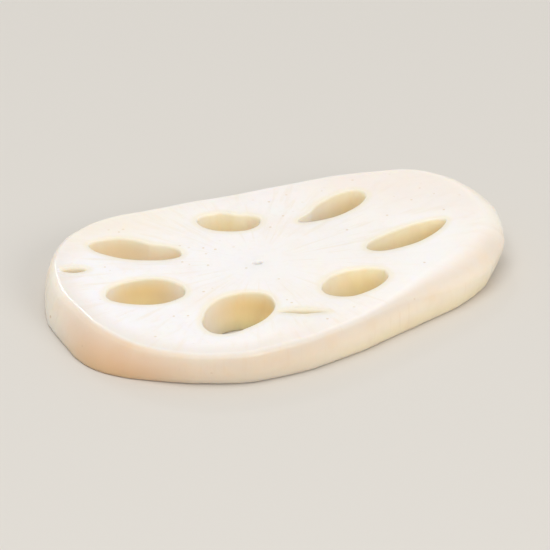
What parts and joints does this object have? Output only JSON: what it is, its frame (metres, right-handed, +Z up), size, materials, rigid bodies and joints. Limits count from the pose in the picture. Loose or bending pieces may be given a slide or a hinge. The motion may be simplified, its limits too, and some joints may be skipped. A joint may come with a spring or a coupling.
{
  "type": "lotus root slice",
  "caption": "Raw peeled slice of lotus root, an uneven oval a little thicker at the back, with air channels running right through it.",
  "frame": {"origin": "on the flat face that the slice lies on, under the middle of its bounding box", "axes": "+Z up out of the upper cut face, +X along the slice's longest side towards the end with the rounded shoulder, +Y towards its thicker back"},
  "size_m": [0.069, 0.0613, 0.0069],
  "materials": {
    "lotus_flesh": "satin"
  },
  "bodies": {
    "root": {"lotus_root_slice": "lotus_flesh"}
  },
  "joints": []
}
